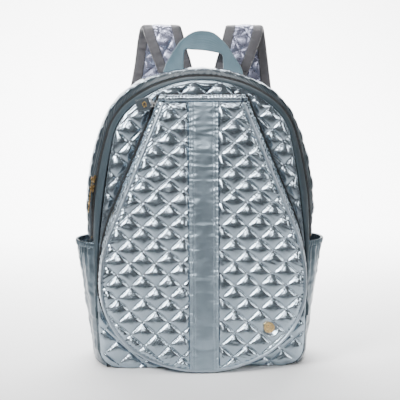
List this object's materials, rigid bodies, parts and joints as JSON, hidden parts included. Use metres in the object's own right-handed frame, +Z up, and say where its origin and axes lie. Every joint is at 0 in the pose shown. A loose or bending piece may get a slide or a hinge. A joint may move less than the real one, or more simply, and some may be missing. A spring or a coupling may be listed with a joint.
{
  "type": "racket backpack",
  "caption": "Quilted arched backpack with a teardrop racket pocket on its front, zipped main compartment, open side pockets, webbing carry handle and padded straps.",
  "frame": {"origin": "on the floor under the centre of the main body's base", "axes": "+Z up; the racket pocket faces -Y and the shoulder straps are on +Y; +X is to the right seen from the front"},
  "size_m": [0.366, 0.2104, 0.5],
  "materials": {
    "quilted_nylon": "metallic sheen, quilted",
    "plain_nylon": "metallic sheen",
    "pocket_nylon": "metallic sheen, gathered",
    "strap_quilt": "satin, quilted",
    "strap_binding": "woven binding",
    "piping": "corded piping",
    "webbing": "woven",
    "back_fabric": "woven, padded",
    "lining": "woven",
    "zip_tape": "woven",
    "zip_coil": "nylon coil",
    "stiffener": "sheet",
    "black_plastic": "moulded",
    "gold_metal": "antique gold plate",
    "silver_metal": "plated",
    "tab_leather": "grained"
  },
  "bodies": {
    "bag": {"back_panel": "back_fabric", "back_frame_sheet": "stiffener", "laptop_sleeve": "lining", "side_gusset": "quilted_nylon", "base_panel": "plain_nylon", "base_board": "stiffener", "front_panel_lower": "quilted_nylon", "back_piping": "piping", "main_zip_tape_rear": "zip_tape", "main_zip_coil_rear": "zip_coil", "main_zip_stops": "gold_metal", "side_pocket_left": "pocket_nylon", "side_pocket_right": "pocket_nylon", "pocket_elastic_left": "pocket_nylon", "pocket_elastic_right": "pocket_nylon", "handle_reinforcement": "lining", "strap_anchor_patch_left": "back_fabric", "strap_anchor_patch_right": "back_fabric", "strap_corner_tab_left": "plain_nylon", "strap_corner_tab_right": "plain_nylon", "strap_webbing_left": "webbing", "strap_webbing_right": "webbing", "racket_zip_flange_lower": "zip_tape", "racket_zip_coil_rear_lower": "zip_coil"},
    "front_flap": {"front_panel_upper": "quilted_nylon", "front_gusset": "quilted_nylon", "main_zip_tape_front": "zip_tape", "main_zip_coil_front": "zip_coil", "racket_zip_flange_upper": "zip_tape", "racket_zip_coil_rear_upper": "zip_coil", "racket_top_strip": "plain_nylon"},
    "racket_cover_upper": {"racket_cover_quilt_upper": "quilted_nylon", "racket_cover_band_upper": "plain_nylon", "racket_cover_hem": "plain_nylon", "racket_cover_padding_upper": "lining", "racket_cover_piping_upper": "piping", "racket_gusset_upper": "plain_nylon", "racket_zip_coil_front_upper": "zip_coil"},
    "racket_cover_lower": {"racket_cover_quilt_lower": "quilted_nylon", "racket_cover_band_lower": "plain_nylon", "racket_cover_padding_lower": "lining", "racket_cover_piping_lower": "piping", "racket_gusset_lower": "plain_nylon", "racket_zip_coil_front_lower": "zip_coil", "cover_badge": "gold_metal"},
    "racket_zip_slider": {"racket_slider": "silver_metal"},
    "racket_zip_tab": {"racket_pull_ring": "silver_metal", "racket_pull_tab": "tab_leather", "racket_pull_stud": "gold_metal"},
    "main_slider_upper": {"main_slider_upper": "gold_metal"},
    "main_slider_lower": {"main_slider_lower": "gold_metal"},
    "main_pull_upper": {"main_pull_upper": "gold_metal"},
    "main_pull_lower": {"main_pull_lower": "gold_metal"},
    "handle": {"carry_handle": "webbing"},
    "strap_left": {"strap_pad_left": "strap_quilt", "strap_adjuster_left": "black_plastic", "adjuster_webbing_left": "webbing"},
    "strap_right": {"strap_pad_right": "strap_quilt", "strap_adjuster_right": "black_plastic", "adjuster_webbing_right": "webbing"}
  },
  "joints": [
    {"name": "front_flap_open", "type": "hinge", "parent": "bag", "child": "front_flap", "pos_m": [0, -0.0925, 0.186], "axis": [1, 0, 0], "range_deg": [0, 20]},
    {"name": "racket_cover_open", "type": "hinge", "parent": "front_flap", "child": "racket_cover_upper", "pos_m": [0, -0.0666, 0.3975], "axis": [-1, 0, 0], "range_deg": [0, 80]},
    {"name": "racket_cover_fold", "type": "hinge", "parent": "racket_cover_upper", "child": "racket_cover_lower", "pos_m": [0, -0.0925, 0.186], "axis": [1, 0, 0], "range_deg": [-20, 0]},
    {"name": "racket_slider_travel", "type": "slide", "parent": "front_flap", "child": "racket_zip_slider", "axis": [-0.3811, 0, -0.9245], "range_m": [0, 0.13]},
    {"name": "racket_tab_swing", "type": "hinge", "parent": "racket_zip_slider", "child": "racket_zip_tab", "pos_m": [-0.07284, -0.079, 0.38643], "axis": [0, -1, 0], "range_deg": [-20, 40]},
    {"name": "main_slider_upper_travel", "type": "hinge", "parent": "bag", "child": "main_slider_upper", "pos_m": [0.33021, -0.043, 0.19618], "axis": [0, 1, 0], "range_deg": [0, 7.4]},
    {"name": "main_slider_lower_travel", "type": "hinge", "parent": "bag", "child": "main_slider_lower", "pos_m": [0.33021, -0.043, 0.19618], "axis": [0, -1, 0], "range_deg": [0, 4.7]},
    {"name": "main_pull_upper_swing", "type": "hinge", "parent": "main_slider_upper", "child": "main_pull_upper", "pos_m": [-0.15802, -0.0461, 0.27569], "axis": [0, 1, 0], "range_deg": [0, 150]},
    {"name": "main_pull_lower_swing", "type": "hinge", "parent": "main_slider_lower", "child": "main_pull_lower", "pos_m": [-0.15999, -0.0399, 0.26245], "axis": [0, 1, 0], "range_deg": [0, 150]},
    {"name": "handle_swing", "type": "hinge", "parent": "bag", "child": "handle", "pos_m": [0, 0.032, 0.4335], "axis": [1, 0, 0], "range_deg": [-15, 75], "stiffness_Nm_per_rad": 0.05},
    {"name": "strap_left_swing", "type": "hinge", "parent": "bag", "child": "strap_left", "pos_m": [-0.045, 0.067, 0.436], "axis": [1, 0, 0], "range_deg": [0, 12]},
    {"name": "strap_right_swing", "type": "hinge", "parent": "bag", "child": "strap_right", "pos_m": [0.045, 0.067, 0.436], "axis": [1, 0, 0], "range_deg": [0, 12]}
  ],
  "couplings": [
    {"joint": "racket_cover_fold", "follows": "front_flap_open", "ratio": -1}
  ]
}
